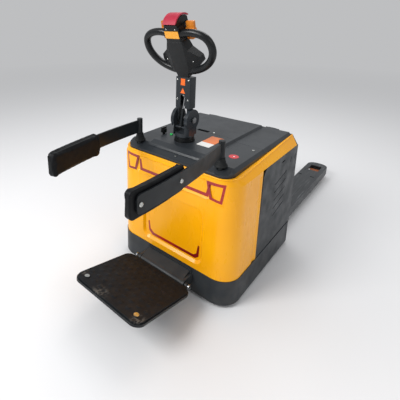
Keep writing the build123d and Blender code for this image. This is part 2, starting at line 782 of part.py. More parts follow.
def platform_mat():
    """Rubber mat with staggered round bumps."""
    margin = 5
    y0, y1 = -platform_length + margin, -platform_start - margin
    half = platform_width / 2 - margin
    z = plate_sheet / 2
    mat = block(-half, half, y0, y1, z, z + mat_sheet)
    mat = fillet(mat.edges().filter_by(Axis.Z), 42)
    pitch = 46
    rows = 8
    studs = []
    for row in range(rows):
        for column in range(-4, 5):
            x = column * pitch + (pitch / 2 if row % 2 else 0)
            y = y1 - 34 - row * (pitch - 4)
            if abs(x) > half - 34 or y < y0 + 26:
                continue
            if abs(x) > half - 62 and y < y0 + 62:
                continue
            studs.append(Pos(x, y, z + mat_sheet + 1) * Cylinder(10, 2.4))
    mat += studs
    for side in (-1, 1):
        mat -= upright(side * (half - 44), y0 + 40, -10, 60, 7)
    return platform_place * mat


def platform_screws():
    half = platform_width / 2 - 5
    z = plate_sheet / 2
    group = None
    for side in (-1, 1):
        x, y = side * (half - 44), -platform_length + 45
        screw = upright(x, y, z, z + mat_sheet + 1, 6.5)
        screw += upright(x, y, z + mat_sheet + 0.3, z + mat_sheet + 3, 12)
        group = screw if group is None else group + screw
    return platform_place * group


# ================= forks and lifting gear =================

def fork_carriage():
    """Cross plate with two sliding blocks that run in the chassis rails."""
    half = fork_centre + fork_width / 2
    plate = block(-half, half, carriage_y, fork_start, fork_bottom, 420)
    plate = fillet(plate.edges().filter_by(Axis.Y).sort_by(Axis.Z)[-2:], 30)
    for side in (-1, 1):
        x = side * rail_x
        for z in (80, 340):
            neck = block(x - 10.5, x + 10.5, rail_y - 20, carriage_y + 1, z, z + 70)
            pad = block(x - 21.7, x + 21.7, body_length + 6.3, rail_y - 8.3, z, z + 70)
            plate += neck + pad
    plate -= block(-52, 52, 0, 1000, 0, rod_top)
    return plate + block(-60, 60, body_length + 8, carriage_y + 1, rod_top, rod_top + 22)


def fork(side):
    x0 = side * fork_centre - fork_width / 2
    x1 = x0 + fork_width
    bar = block(x0, x1, fork_start, fork_tip, fork_bottom, fork_top)
    bar = fillet(bar.edges().filter_by(Axis.Z).sort_by(Axis.Y)[-2:], 64)
    nose = prism([(fork_tip - 90, fork_bottom - 1), (fork_tip + 1, fork_bottom - 1),
                  (fork_tip + 1, fork_bottom + 26)],
                 Plane(origin=(x0 - 1, 0, 0), x_dir=(0, 1, 0), z_dir=(1, 0, 0)), fork_width + 2)
    bar -= nose
    hollow = block(x0 + fork_sheet, x1 - fork_sheet, fork_start + fork_sheet, fork_tip - 40,
                   fork_bottom - 1, fork_top - fork_sheet)
    hollow = fillet(hollow.edges().filter_by(Axis.Z).sort_by(Axis.Y)[-2:], 40)
    bar -= hollow
    x = side * fork_centre
    window = block(x - window_half, x + window_half, bogie_y + window_ahead - window_reach,
                   bogie_y + window_ahead + window_reach, fork_bottom, fork_top + 1)
    bar -= fillet(window.edges().filter_by(Axis.Z), 8)
    for slot_x in (-56, 36):
        slot = Pos(x + slot_x, fork_tip - 326, fork_top - 20) * SlotOverall(32, 12)
        bar -= extrude(slot, 40)
    bar -= upright(x - 52, fork_tip - 206, fork_top - 20, fork_top + 5, 6)
    for y in (fork_start + 90, arm_pivot_y - 110):
        guide = block(x0 + fork_sheet - 1, x1 - fork_sheet + 1, y, y + 8, fork_bottom, fork_top - 7)
        guide -= block(x - 12.3, x + 12.3, y - 1, y + 9, 0, rod_height + 7.3)
        bar += guide
    pin = across(x0 + fork_sheet - 1, x1 - fork_sheet + 1, arm_pivot_y, arm_pivot_height, 10)
    return bar + pin


def roller_arms():
    """Two arms that turn on the fork pins and push the rollers down as the forks rise."""
    group = None
    for side in (-1, 1):
        x = side * fork_centre
        arm = across(x - 56, x + 56, arm_pivot_y, arm_pivot_height, 17)
        for s in (-1, 1):
            a, b = sorted((x + s * 49, x + s * 57))
            drop = arm_pivot_height - roller_radius
            side_plate = prism([(arm_pivot_y, arm_pivot_height - 17), (arm_pivot_y, arm_pivot_height + 17),
                                (bogie_y, roller_radius + 15), (bogie_y, roller_radius - 15)],
                               Plane(origin=(a, 0, 0), x_dir=(0, 1, 0), z_dir=(1, 0, 0)), b - a)
            side_plate += across(a, b, bogie_y, roller_radius, 15)
            arm += side_plate + across(a, b, arm_pivot_y, arm_pivot_height, 17)
            c, d = sorted((x + s * 14, x + s * 20))
            arm += block(c, d, arm_pivot_y - 16, arm_pivot_y + 2, crank_height - 8, arm_pivot_height)
        arm += across(x - 20, x + 20, arm_pivot_y - 8, crank_height, 6)
        for s in (-1, 1):
            a, b = sorted((x + s * 41, x + s * 62))
            arm += across(a, b, bogie_y, roller_radius, axle_radius)
        arm -= across(x - 80, x + 80, arm_pivot_y, arm_pivot_height, 10 + running_fit)
        group = arm if group is None else group + arm
    return group


def roller_bogies():
    group = None
    for side in (-1, 1):
        x = side * fork_centre
        bogie = across(x - 47, x + 47, bogie_y, roller_radius, 12.5)
        bogie -= across(x - 42, x + 42, bogie_y, roller_radius, 30)
        for s in (-1, 1):
            a, b = sorted((x + s * 41, x + s * 47))
            bar = block(a, b, bogie_y - roller_space / 2, bogie_y + roller_space / 2,
                        roller_radius - 15, roller_radius + 15)
            for end in (-1, 1):
                bar += across(a, b, bogie_y + end * roller_space / 2, roller_radius, 15)
            bogie += bar
        for end in (-1, 1):
            bogie += across(x - 47, x + 47, bogie_y + end * roller_space / 2, roller_radius, axle_radius)
        bogie -= across(x - 80, x + 80, bogie_y, roller_radius, axle_radius + running_fit)
        group = bogie if group is None else group + bogie
    return group


def load_roller(side, end):
    x = side * fork_centre
    y = bogie_y + end * roller_space / 2
    half = roller_width / 2
    roller = across(x - half, x + half, y, roller_radius, roller_radius)
    roller = fillet(roller.edges().filter_by(GeomType.CIRCLE), 3)
    return roller - across(x - half - 1, x + half + 1, y, roller_radius, axle_radius + running_fit)


def pull_rods():
    group = None
    for side in (-1, 1):
        x = side * fork_centre
        rod = block(x - 12, x + 12, fork_start + 40, arm_pivot_y - 40, rod_height - 7, rod_height + 7)
        eye = block(x - 12, x + 12, arm_pivot_y - 56, arm_pivot_y + 4, crank_height - 12, rod_height + 7)
        eye -= block(x - 13, x + 13, arm_pivot_y - 15.6, arm_pivot_y - 0.4, crank_height - 7.5, rod_height + 3)
        eye -= across(x - 13, x + 13, arm_pivot_y, arm_pivot_height, 18)
        rod = rod + eye
        group = rod if group is None else group + rod
    return group


def lift_cylinder():
    y = body_length + 38
    tube = upright(0, y, 46, 350, cylinder_radius)
    return tube - upright(0, y, 80, 351, rod_radius + running_fit)


def lift_rod():
    y = body_length + 38
    return upright(0, y, 170, rod_top, rod_radius)


# ================= writing =================

def build():
    pieces["chassis_frame"] = chassis_frame()
    pieces["slew_ring"] = slew_ring()
    pieces["drive_housing"] = drive_housing()
    pieces["drive_motor"] = drive_motor()
    pieces["drive_wheel"] = drive_wheel()
    for side, name in ((-1, "left"), (1, "right")):
        pieces["caster_fork_" + name] = caster_fork(side)
        pieces["caster_wheel_" + name] = caster_wheel(side)
        pieces["fork_" + name] = fork(side)
        pieces["arm_bar_" + name] = place_arm(arm_strip(), side)
        pieces["arm_pad_" + name] = place_arm(arm_pad(), side)
        for end, place in ((-1, "inner"), (1, "outer")):
            pieces["load_roller_" + name + "_" + place] = load_roller(side, end)
    pieces["side_panel_right"] = side_panel()
    pieces["side_panel_left"] = mirrored(side_panel())
    for maker in (battery, hydraulic_unit, controller, front_cover, rear_panel, top_cover,
                  battery_lid, cover_screws, deck_labels, key_knob,
                  charge_lamp, front_stripes, turret_ring, steer_turret, tiller_pin,
                  tiller_column, gas_spring_body, gas_spring_rod, tiller_labels, head_housing,
                  reverse_button, throttle, arm_boots, platform_bracket, platform_pin,
                  platform_plate, platform_mat, platform_screws, fork_carriage, roller_arms,
                  roller_bogies, pull_rods, lift_cylinder, lift_rod):
        pieces[maker.__name__] = maker()
    for name, x in (("lift_button", -30), ("horn_button", 0), ("lower_button", 30)):
        pieces[name] = head_button(x)
    for side, name in ((-1, "left"), (1, "right")):
        pieces["loop_handle_" + name] = loop_handle(side)


build()
os.makedirs("parts", exist_ok=True)
for node, shape in pieces.items():
    export_step(Pos(0, -y_middle, 0) * shape, "parts/" + node + ".step")
print(len(pieces), "nodes; origin at y", round(y_middle, 3))
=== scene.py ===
# %% [markdown]
# # An electric pallet truck
# The truck is a moulded yellow and grey body on a steel skirt, with a steering
# tiller, two padded side arms, a folding platform and a pair of forks.
# The hard parts come ready-made as a fixed frame. This lesson gives each of them a
# finish, and makes the soft and small pieces that the frame leaves out.

import json
import math

import bmesh
import bpy
from mathutils import Matrix, Vector


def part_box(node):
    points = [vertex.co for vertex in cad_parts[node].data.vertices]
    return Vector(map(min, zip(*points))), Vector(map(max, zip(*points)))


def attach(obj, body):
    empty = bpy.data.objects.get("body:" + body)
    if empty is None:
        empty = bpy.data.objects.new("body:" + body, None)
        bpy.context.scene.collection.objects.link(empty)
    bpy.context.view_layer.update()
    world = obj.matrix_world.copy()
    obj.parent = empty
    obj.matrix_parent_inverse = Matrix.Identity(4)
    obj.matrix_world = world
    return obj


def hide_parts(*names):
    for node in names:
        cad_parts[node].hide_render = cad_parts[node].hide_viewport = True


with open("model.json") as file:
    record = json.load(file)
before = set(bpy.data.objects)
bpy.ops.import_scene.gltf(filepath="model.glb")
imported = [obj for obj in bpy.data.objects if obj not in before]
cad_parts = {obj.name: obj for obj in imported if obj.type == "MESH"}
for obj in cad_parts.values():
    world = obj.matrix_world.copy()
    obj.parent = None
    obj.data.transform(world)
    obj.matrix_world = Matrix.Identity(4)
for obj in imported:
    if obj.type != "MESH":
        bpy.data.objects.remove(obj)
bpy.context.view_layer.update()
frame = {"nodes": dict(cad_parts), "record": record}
parts = frame["nodes"]
joints = {j["name"]: j for j in frame["record"]["behaviour"]["joints"]}
MM = 0.001

# %% [markdown]
# ## Colour and node helpers
# Paint charts and colour pickers give sRGB hex values, but a shader needs linear
# light, so one function turns the one into the other. One more function adds any
# node, with its settings and its links, so that a finish reads as a short list.

# %% Colour and nodes


def linear(code, alpha=1.0):
    """The linear colour of an sRGB hex code such as F5A800."""
    channels = [int(code[i:i + 2], 16) / 255 for i in (0, 2, 4)]
    light = [c / 12.92 if c <= 0.04045 else ((c + 0.055) / 1.055) ** 2.4 for c in channels]
    return (*light, alpha)


def add(material, kind, inputs=None, **settings):
    """Adds a node; an input given as a socket is linked, any other value is set."""
    made = material.node_tree.nodes.new(kind)
    for name, value in settings.items():
        setattr(made, name, value)
    for socket, value in (inputs or {}).items():
        if isinstance(value, bpy.types.NodeSocket):
            material.node_tree.links.new(value, made.inputs[socket])
        else:
            made.inputs[socket].default_value = value
    return made


def new_finish(name, **values):
    """A material whose shader's own sockets are set from values."""
    material = bpy.data.materials.new(name)
    material.use_nodes = True
    shader = material.node_tree.nodes["Principled BSDF"]
    for socket, value in values.items():
        shader.inputs[socket.replace("_", " ")].default_value = value
    place = add(material, "ShaderNodeTexCoord").outputs["Object"]
    return material, shader, place


def join(material, output, shader, socket):
    material.node_tree.links.new(output, shader.inputs[socket])


def pattern(material, place, size, detail=4.0, stretch=(1, 1, 1)):
    """Noise whose spots are about size metres across, drawn out where stretch is low."""
    lie = add(material, "ShaderNodeMapping", {"Vector": place, "Scale": stretch})
    spots = add(material, "ShaderNodeTexNoise",
                {"Vector": lie.outputs[0], "Scale": 1 / size, "Detail": detail})
    return spots.outputs["Fac"]


def spread(material, value, low, high, to_low=0.0, to_high=1.0):
    """Maps low..high of a pattern to a new range, cut off at its ends."""
    return add(material, "ShaderNodeMapRange",
               {"Value": value, "From Min": low, "From Max": high,
                "To Min": to_low, "To Max": to_high}).outputs[0]


def blend_colour(material, amount, first, second):
    mix = add(material, "ShaderNodeMix", data_type="RGBA")
    for index, value in ((0, amount), (6, first), (7, second)):
        if isinstance(value, bpy.types.NodeSocket):
            material.node_tree.links.new(value, mix.inputs[index])
        else:
            mix.inputs[index].default_value = value
    return mix.outputs[2]


def times(material, first, second):
    return add(material, "ShaderNodeMath", {0: first, 1: second}, operation="MULTIPLY").outputs[0]


def relief(material, shader, height, depth, strength=1.0):
    bump = add(material, "ShaderNodeBump", {"Height": height, "Distance": depth,
                                            "Strength": strength})
    join(material, bump.outputs[0], shader, "Normal")


def edge_mask(material, width):
    """1 on sharp edges and 0 on flats: how far a rounded normal leans from the true one."""
    soft = add(material, "ShaderNodeBevel", {"Radius": width}, samples=4).outputs[0]
    true = add(material, "ShaderNodeNewGeometry").outputs["Normal"]
    lean = add(material, "ShaderNodeVectorMath", {0: soft, 1: true}, operation="DOT_PRODUCT")
    return spread(material, lean.outputs["Value"], 0.99, 0.86)


def height_fade(material, place, low, high):
    """1 at height low, falling to 0 at height high."""
    split = add(material, "ShaderNodeSeparateXYZ", {"Vector": place})
    return spread(material, split.outputs["Z"], low, high, 1.0, 0.0)


# %% [markdown]
# ## Moulded covers
# The yellow front and the grey deck are ABS sheets pressed over a mould. ABS is
# coloured right through, so wear makes it paler rather than showing a new colour.
# The mould leaves a fine grain and a satin gloss. The real grain is about 0.5 mm,
# too fine to show, so it is drawn at 2 mm. Dust gathers low down.

# %% Moulded ABS


def moulded_abs(name, colour, shade, pale, roughness, grain=2 * MM, depth=0.03 * MM, dust=0.08):
    material, shader, place = new_finish(name, Roughness=roughness, IOR=1.53,
                                         Specular_IOR_Level=0.35)
    clouds = pattern(material, place, 260 * MM, 5)
    body = blend_colour(material, spread(material, clouds, 0.35, 0.7, 0, 0.55),
                        linear(colour), linear(shade))
    edges = times(material, edge_mask(material, 3 * MM),
                  spread(material, pattern(material, place, 30 * MM), 0.4, 0.65, 0.05, 0.3))
    body = blend_colour(material, edges, body, linear(pale))
    low = times(material, height_fade(material, place, 0.15, 0.42),
                spread(material, pattern(material, place, 60 * MM, 8), 0.4, 0.75, 0, dust))
    body = blend_colour(material, low, body, linear("8E8678"))
    join(material, body, shader, "Base Color")
    smear = pattern(material, place, 90 * MM, 6, (1, 1, 0.35))
    join(material, spread(material, smear, 0.3, 0.75, roughness - 0.07, roughness + 0.12),
         shader, "Roughness")
    relief(material, shader, pattern(material, place, grain, 2), depth)
    return material


yellow_abs = moulded_abs("yellow_abs_moulded", "FFB200", "F5A300", "FFCF40", 0.27,
                         grain=3 * MM, depth=0.02 * MM, dust=0.04)
grey_abs = moulded_abs("slate_abs_moulded", "2A2E32", "25292D", "474C51", 0.34, depth=0.05 * MM)
lid_abs = moulded_abs("lid_abs_moulded", "2E3236", "292D31", "50555A", 0.38, depth=0.05 * MM)

# %% [markdown]
# ## Powder-coated and enamelled steel
# Powder is sprayed on dry and baked, which leaves a skin with a faint orange peel of
# about 3 mm. It chips at the edges. The forks are brushed with enamel instead, and
# pallets scrape it along their length, so their pattern is drawn out along Y.

# %% Coated steel


def powder_coat(name, colour, shade, roughness, chip=0.25, dust=0.1):
    material, shader, place = new_finish(name, Roughness=roughness, IOR=1.5,
                                         Specular_IOR_Level=0.28)
    clouds = pattern(material, place, 140 * MM, 5)
    body = blend_colour(material, spread(material, clouds, 0.35, 0.7),
                        linear(colour), linear(shade))
    chips = times(material, edge_mask(material, 2.5 * MM),
                  spread(material, pattern(material, place, 12 * MM, 6), 0.45, 0.62, 0, chip))
    body = blend_colour(material, chips, body, linear("8A8C8E"))
    low = times(material, height_fade(material, place, 0.02, 0.3),
                spread(material, pattern(material, place, 50 * MM, 8), 0.42, 0.75, 0, dust))
    body = blend_colour(material, low, body, linear("7E776A"))
    join(material, body, shader, "Base Color")
    join(material, spread(material, pattern(material, place, 70 * MM, 6), 0.3, 0.7,
                          roughness - 0.06, roughness + 0.14), shader, "Roughness")
    relief(material, shader, pattern(material, place, 3 * MM, 1), 0.05 * MM)
    return material


slate_steel = powder_coat("slate_powder_coated_steel", "2B2F33", "24282B", 0.40)
black_steel = powder_coat("black_powder_coated_steel", "1C2023", "15181A", 0.34)
turret_steel = powder_coat("semi_gloss_coated_casting", "30353A", "262A2E", 0.22)


def scraped_enamel(name, colour, shade, bare):
    material, shader, place = new_finish(name, Roughness=0.4, IOR=1.5)
    body = blend_colour(material,
                        spread(material, pattern(material, place, 200 * MM, 5), 0.35, 0.7),
                        linear(colour), linear(shade))
    scrapes = spread(material, pattern(material, place, 9 * MM, 6, (1, 0.05, 1)), 0.55, 0.72)
    patches = spread(material, pattern(material, place, 170 * MM, 3), 0.42, 0.68)
    worn = times(material, scrapes, patches)
    edges = times(material, edge_mask(material, 3 * MM),
                  spread(material, pattern(material, place, 14 * MM, 6), 0.4, 0.6, 0.1, 0.7))
    body = blend_colour(material, worn, body, linear(bare))
    body = blend_colour(material, edges, body, linear(bare))
    join(material, body, shader, "Base Color")
    join(material, spread(material, pattern(material, place, 20 * MM, 6, (1, 0.1, 1)), 0.3, 0.7,
                          0.34, 0.55), shader, "Roughness")
    relief(material, shader, scrapes, -0.08 * MM)
    return material


fork_enamel = scraped_enamel("slate_enamel_on_steel", "35383B", "2A2D30", "74777A")

# %% [markdown]
# ## Bare metals
# Pins and screws are turned and zinc plated, so they are bright with fine rings.
# The rods of the lift and the gas spring are hard chrome, nearly a mirror. The gear
# case and motor are painted castings with a coarse sand skin of about 2 mm.

# %% Metals


def turned_metal(name, colour, roughness, marks, depth):
    material, shader, place = new_finish(name, Metallic=1.0, Roughness=roughness)
    tone = blend_colour(material, spread(material, pattern(material, place, 25 * MM, 4), 0.3, 0.7),
                        linear(colour), tuple(0.72 * c for c in linear(colour)[:3]) + (1,))
    join(material, tone, shader, "Base Color")
    join(material, spread(material, pattern(material, place, 12 * MM, 5), 0.3, 0.7,
                          roughness * 0.75, roughness * 1.4), shader, "Roughness")
    relief(material, shader, pattern(material, place, marks, 2, (0.1, 1, 1)), depth)
    return material


machined_steel = turned_metal("machined_steel", "A9ABAD", 0.32, 1.5 * MM, 0.02 * MM)
zinc_plate = turned_metal("zinc_plated_steel", "D2D3CF", 0.25, 1 * MM, 0.01 * MM)
hard_chrome = turned_metal("hard_chrome", "DADCDE", 0.08, 6 * MM, 0.002 * MM)


def sand_casting(name, colour, shade):
    material, shader, place = new_finish(name, Roughness=0.55, IOR=1.5)
    tone = blend_colour(material,
                        spread(material, pattern(material, place, 40 * MM, 6), 0.35, 0.68),
                        linear(colour), linear(shade))
    join(material, tone, shader, "Base Color")
    join(material, spread(material, pattern(material, place, 15 * MM, 5), 0.3, 0.7, 0.48, 0.7),
         shader, "Roughness")
    relief(material, shader, pattern(material, place, 2 * MM, 3), 0.25 * MM)
    return material


gear_casting = sand_casting("painted_sand_casting", "4B4D4F", "333537")

# %% [markdown]
# ## Rubber, foam and running surfaces
# Foam for the arm pads is moulded with its own closed skin, which has pebble grain.
# Rubber is duller, and shoes and dust leave it grey on raised spots. Rollers are
# cast polyurethane, a brown or black plastic that runs smooth in the middle.

# %% Rubbers


def rubber(name, colour, dusty, roughness, grain, depth, wear=0.4):
    material, shader, place = new_finish(name, Roughness=roughness, IOR=1.52,
                                         Specular_IOR_Level=0.18)
    clouds = pattern(material, place, 70 * MM, 6)
    tone = blend_colour(material, spread(material, clouds, 0.4, 0.75, 0, wear),
                        linear(colour), linear(dusty))
    join(material, tone, shader, "Base Color")
    join(material, spread(material, pattern(material, place, 25 * MM, 4), 0.3, 0.7,
                          roughness - 0.08, roughness + 0.1), shader, "Roughness")
    relief(material, shader, pattern(material, place, grain, 3), depth)
    return material


foam_skin = rubber("moulded_foam_skin", "07090C", "101317", 0.52, 2.5 * MM, 0.12 * MM, 0.5)
black_rubber = rubber("black_rubber", "17191A", "2B2C2B", 0.62, 2 * MM, 0.1 * MM, 0.6)
brown_urethane = rubber("cast_polyurethane_brown", "8A4A22", "5F3A22", 0.38, 4 * MM, 0.04 * MM)
dark_urethane = rubber("cast_polyurethane_black", "1E1E1F", "3A3937", 0.48, 4 * MM, 0.06 * MM)

# %% [markdown]
# ## Small mouldings and printed film
# The tiller head, its loops, the caps and the lamp are injection moulded nylon and
# acrylic. The stripes and labels are printed vinyl film under a clear coat.

# %% Small mouldings


def moulding(name, colour, shade, roughness, grain=1.5 * MM, depth=0.02 * MM, **values):
    values = {"Specular_IOR_Level": 0.3, **values}
    material, shader, place = new_finish(name, Roughness=roughness, IOR=1.5, **values)
    tone = blend_colour(material, spread(material, pattern(material, place, 45 * MM, 5), 0.35, 0.7),
                        linear(colour), linear(shade))
    edges = times(material, edge_mask(material, 2 * MM),
                  spread(material, pattern(material, place, 15 * MM), 0.4, 0.65, 0, 0.35))
    rubbed = tuple(0.5 * c + 0.12 for c in linear(colour)[:3]) + (1,)
    tone = blend_colour(material, edges, tone, rubbed)
    join(material, tone, shader, "Base Color")
    join(material, spread(material, pattern(material, place, 30 * MM, 5), 0.3, 0.7,
                          roughness - 0.05, roughness + 0.1), shader, "Roughness")
    relief(material, shader, pattern(material, place, grain, 2), depth)
    return material


black_nylon = moulding("black_nylon_moulded", "111315", "0B0D0E", 0.36, depth=0.05 * MM)
grip_nylon = moulding("soft_grip_nylon", "131517", "0D0F10", 0.30)
red_cap_plastic = moulding("red_cap_moulded", "B32C42", "A02338", 0.36)
amber_plastic = moulding("amber_wing_moulded", "E08A2E", "C9701C", 0.25)
green_acrylic = moulding("green_acrylic_lens", "12B24C", "0E9040", 0.12)
battery_plastic = moulding("battery_case_polypropylene", "24262A", "1C1E21", 0.5)


def place_axis(material, place, axis):
    return add(material, "ShaderNodeSeparateXYZ", {"Vector": place}).outputs[axis]


def printed_film(name, roughness=0.3):
    """Vinyl film with a clear coat. The caller links its colour."""
    material, shader, place = new_finish(name, Roughness=roughness, IOR=1.5,
                                         Coat_Weight=0.4, Coat_Roughness=0.15)
    join(material, spread(material, pattern(material, place, 20 * MM, 5), 0.3, 0.7,
                          roughness - 0.05, roughness + 0.15), shader, "Roughness")
    relief(material, shader, pattern(material, place, 8 * MM, 3), 0.02 * MM)
    return material, shader, place


def step(material, value, limit):
    """1 where value is over the limit, 0 under it: a printed edge."""
    over = add(material, "ShaderNodeMath", {0: value, 1: limit}, operation="GREATER_THAN")
    return over.outputs[0]


red_film, shader, place = printed_film("dark_red_vinyl_film")
faded = spread(red_film, pattern(red_film, place, 120 * MM), 0.35, 0.65)
join(red_film, blend_colour(red_film, faded, linear("A80612"), linear("7C0008")),
     shader, "Base Color")

label_low, label_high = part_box("deck_labels")
label_film, shader, place = printed_film("deck_label_film")
across, along = (place_axis(label_film, place, axis) for axis in ("X", "Y"))
oblong = blend_colour(label_film, step(label_film, along, label_low.y + 63 * MM),
                      linear("E4E2DE"), linear("E0701A"))
radius = 24 * MM
centre = (label_high.x - radius, label_low.y + radius, label_high.z)
from_centre = add(label_film, "ShaderNodeVectorMath", {0: place, 1: centre}, operation="DISTANCE")
inside = add(label_film, "ShaderNodeMath", {0: from_centre.outputs["Value"], 1: 15 * MM},
             operation="LESS_THAN").outputs[0]
white_half = times(label_film, inside, step(label_film, across, centre[0] - 2 * MM))
disc = blend_colour(label_film, white_half, linear("C8202A"), linear("ECEAE8"))
both = blend_colour(label_film, step(label_film, across, centre[0] - 60 * MM), oblong, disc)
join(label_film, both, shader, "Base Color")

tag_film, shader, place = printed_film("tiller_label_film")
badge_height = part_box("tiller_column")[1].z
on_badge = step(tag_film, place_axis(tag_film, place, "Z"), badge_height)
join(tag_film, blend_colour(tag_film, on_badge, linear("EE6A10"), linear("F2A40E")),
     shader, "Base Color")
print("deck label from", [round(v, 3) for v in label_low], "badge over", round(badge_height, 3))

# %% [markdown]
# ## Which part has which finish
# The frame's parts are listed under their finish, and each gets that one material.

# %% Finishes of the frame's parts
finishes = {
    yellow_abs: ["front_cover"],
    grey_abs: ["top_cover"],
    lid_abs: ["battery_lid"],
    slate_steel: ["chassis_frame", "side_panel_left", "side_panel_right", "rear_panel",
                  "platform_bracket", "tiller_column"],
    black_steel: ["arm_bar_left", "arm_bar_right", "platform_plate", "caster_fork_left",
                  "caster_fork_right", "roller_arms", "roller_bogies", "gas_spring_body",
                  "lift_cylinder"],
    turret_steel: ["steer_turret"],
    fork_enamel: ["fork_left", "fork_right", "fork_carriage"],
    machined_steel: ["slew_ring", "tiller_pin", "platform_pin", "pull_rods", "hydraulic_unit"],
    zinc_plate: ["cover_screws", "platform_screws"],
    hard_chrome: ["gas_spring_rod", "lift_rod"],
    gear_casting: ["drive_housing", "drive_motor"],
    dark_urethane: ["drive_wheel", "caster_wheel_left", "caster_wheel_right"],
    brown_urethane: [f"load_roller_{s}_{e}" for s in ("left", "right") for e in ("inner", "outer")],
    black_nylon: ["head_housing", "turret_ring", "key_knob", "controller", "lift_button",
                  "horn_button", "lower_button"],
    grip_nylon: ["loop_handle_left", "loop_handle_right"],
    red_cap_plastic: ["reverse_button"],
    amber_plastic: ["throttle"],
    green_acrylic: ["charge_lamp"],
    battery_plastic: ["battery"],
    red_film: ["front_stripes"],
    label_film: ["deck_labels"],
    tag_film: ["tiller_labels"],
    black_rubber: ["arm_boots", "platform_mat"],
    foam_skin: ["arm_pad_left", "arm_pad_right"],
}
for finish, names in finishes.items():
    for name in names:
        mesh = parts[name].data
        mesh.materials.clear()
        mesh.materials.append(finish)
print("finished", sum(len(names) for names in finishes.values()), "of", len(parts))

# %% [markdown]
# ## Arm pads
# Each side arm ends in a foam pad with its own closed skin, moulded round a board. It
# is full in the middle, and its sides bulge a little. A box with round edges looks
# hard, and sculpting by hand is slow, so the pad is blown up as cloth: it starts from
# the frame's solid, is held where it meets the bar, and is pushed out from inside.

# %% Arm pads


def freeze(piece):
    """Makes what the modifiers show the piece's own mesh."""
    shown = piece.evaluated_get(bpy.context.evaluated_depsgraph_get())
    mesh = bpy.data.meshes.new_from_object(shown)
    piece.modifiers.clear()
    piece.data = mesh
    return mesh


def even_copy(node, name, cell):
    """A copy of a frame part with an even net of square faces."""
    piece = bpy.data.objects.new(name, parts[node].data.copy())
    bpy.context.collection.objects.link(piece)
    piece.modifiers.new("even", "REMESH").voxel_size = cell
    freeze(piece)
    return piece


def blow_up(piece, held, pressure, most):
    """Cloth pushed out from inside; held(point) keeps a point, and none moves over most."""
    start = [v.co.copy() for v in piece.data.vertices]
    group = piece.vertex_groups.new(name="held")
    group.add([i for i, co in enumerate(start) if held(co)], 1.0, "REPLACE")
    cloth = piece.modifiers.new("air", "CLOTH")
    cloth.settings.vertex_group_mass = "held"
    cloth.settings.use_pressure = True
    cloth.settings.uniform_pressure_force = pressure
    cloth.settings.effector_weights.gravity = 0.0
    for frame_number in range(1, 21):
        bpy.context.scene.frame_set(frame_number)
    mesh = freeze(piece)
    bpy.context.scene.frame_set(1)
    for vertex, before in zip(mesh.vertices, start):
        move = vertex.co - before
        if move.length > most:
            vertex.co = before + move.normalized() * most


def arm_place(side):
    """From the arm's own lie, with its post at the origin, to where it stands."""
    post = Vector(joints[f"arm_{side}_swing"]["pos_m"])
    post.z = 0
    if side == "right":
        return Matrix.Translation(post)
    turn = Matrix.Rotation(math.radians(10), 4, "Z")
    return Matrix.Translation(post) @ turn @ Matrix.Scale(-1, 4, (1, 0, 0))


pad_middle = 19 * MM       # the seam runs here, half way through the pad
pad_held = 27 * MM         # beyond this the pad lies on its bar and is held
pad_shrink = 2.2           # millimetres, room to swell in
pad_air = 4.0
pad_most = 5 * MM
seam_half = 2.6 * MM
seam_depth = 1.4           # millimetres
for side in ("left", "right"):
    pad = even_copy(f"arm_pad_{side}", f"foam_pad_{side}", 5 * MM)
    for vertex in pad.data.vertices:
        vertex.co -= vertex.normal * pad_shrink * MM
    to_arm = arm_place(side).inverted()
    blow_up(pad, lambda co: (to_arm @ co).x > pad_held, pad_air, pad_most)
    for vertex in pad.data.vertices:
        depth = (to_arm @ vertex.co).x - pad_middle
        if abs(depth) < seam_half and abs(vertex.normal.x) < 0.6:
            vertex.co -= vertex.normal * seam_depth * MM
    pad.modifiers.new("smooth", "SUBSURF").levels = 1
    pad.modifiers["smooth"].render_levels = 1
    freeze(pad)
    pad.data.materials.clear()
    pad.data.materials.append(foam_skin)
    pad.data.shade_smooth()
    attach(pad, f"arm_{side}")
    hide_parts(f"arm_pad_{side}")
    spans = [[v.co[axis] for v in pad.data.vertices] for axis in range(3)]
    print(pad.name, [round(max(span) - min(span), 3) for span in spans])

# %% [markdown]
# ## Turned shapes: rubber boots and screws
# A boot and a screw head are both round about one line, so each is drawn as half an
# outline and turned about it. The boot flares down to the deck with two ribs. A screw
# head is a low dome with a hexagon socket, so its inner rings are pushed to a hexagon.

# %% Boots and screws


def lathe(name, outline, turns=32, hexagon=()):
    """A closed shape from (radius, height) points, the first and last on the axis or joined."""
    form = bmesh.new()
    rings = []
    for index, (radius, height) in enumerate(outline):
        ring = []
        for turn in range(turns):
            angle = math.tau * turn / turns
            reach = radius
            if index in hexagon:
                reach *= math.cos(math.pi / 6) / math.cos(angle % (math.pi / 3) - math.pi / 6)
            ring.append(form.verts.new((reach * math.cos(angle), reach * math.sin(angle), height)))
        rings.append(ring)
    pairs = list(zip(rings, rings[1:]))
    if outline[0][0] > 0.012:
        pairs.append((rings[-1], rings[0]))
    else:
        form.faces.new(rings[0][::-1])
        form.faces.new(rings[-1])
    for low, high in pairs:
        for turn in range(turns):
            after = (turn + 1) % turns
            form.faces.new((low[turn], low[after], high[after], high[turn]))
    bmesh.ops.recalc_face_normals(form, faces=form.faces)
    mesh = bpy.data.meshes.new(name)
    form.to_mesh(mesh)
    form.free()
    mesh.shade_smooth()
    piece = bpy.data.objects.new(name, mesh)
    bpy.context.collection.objects.link(piece)
    return piece


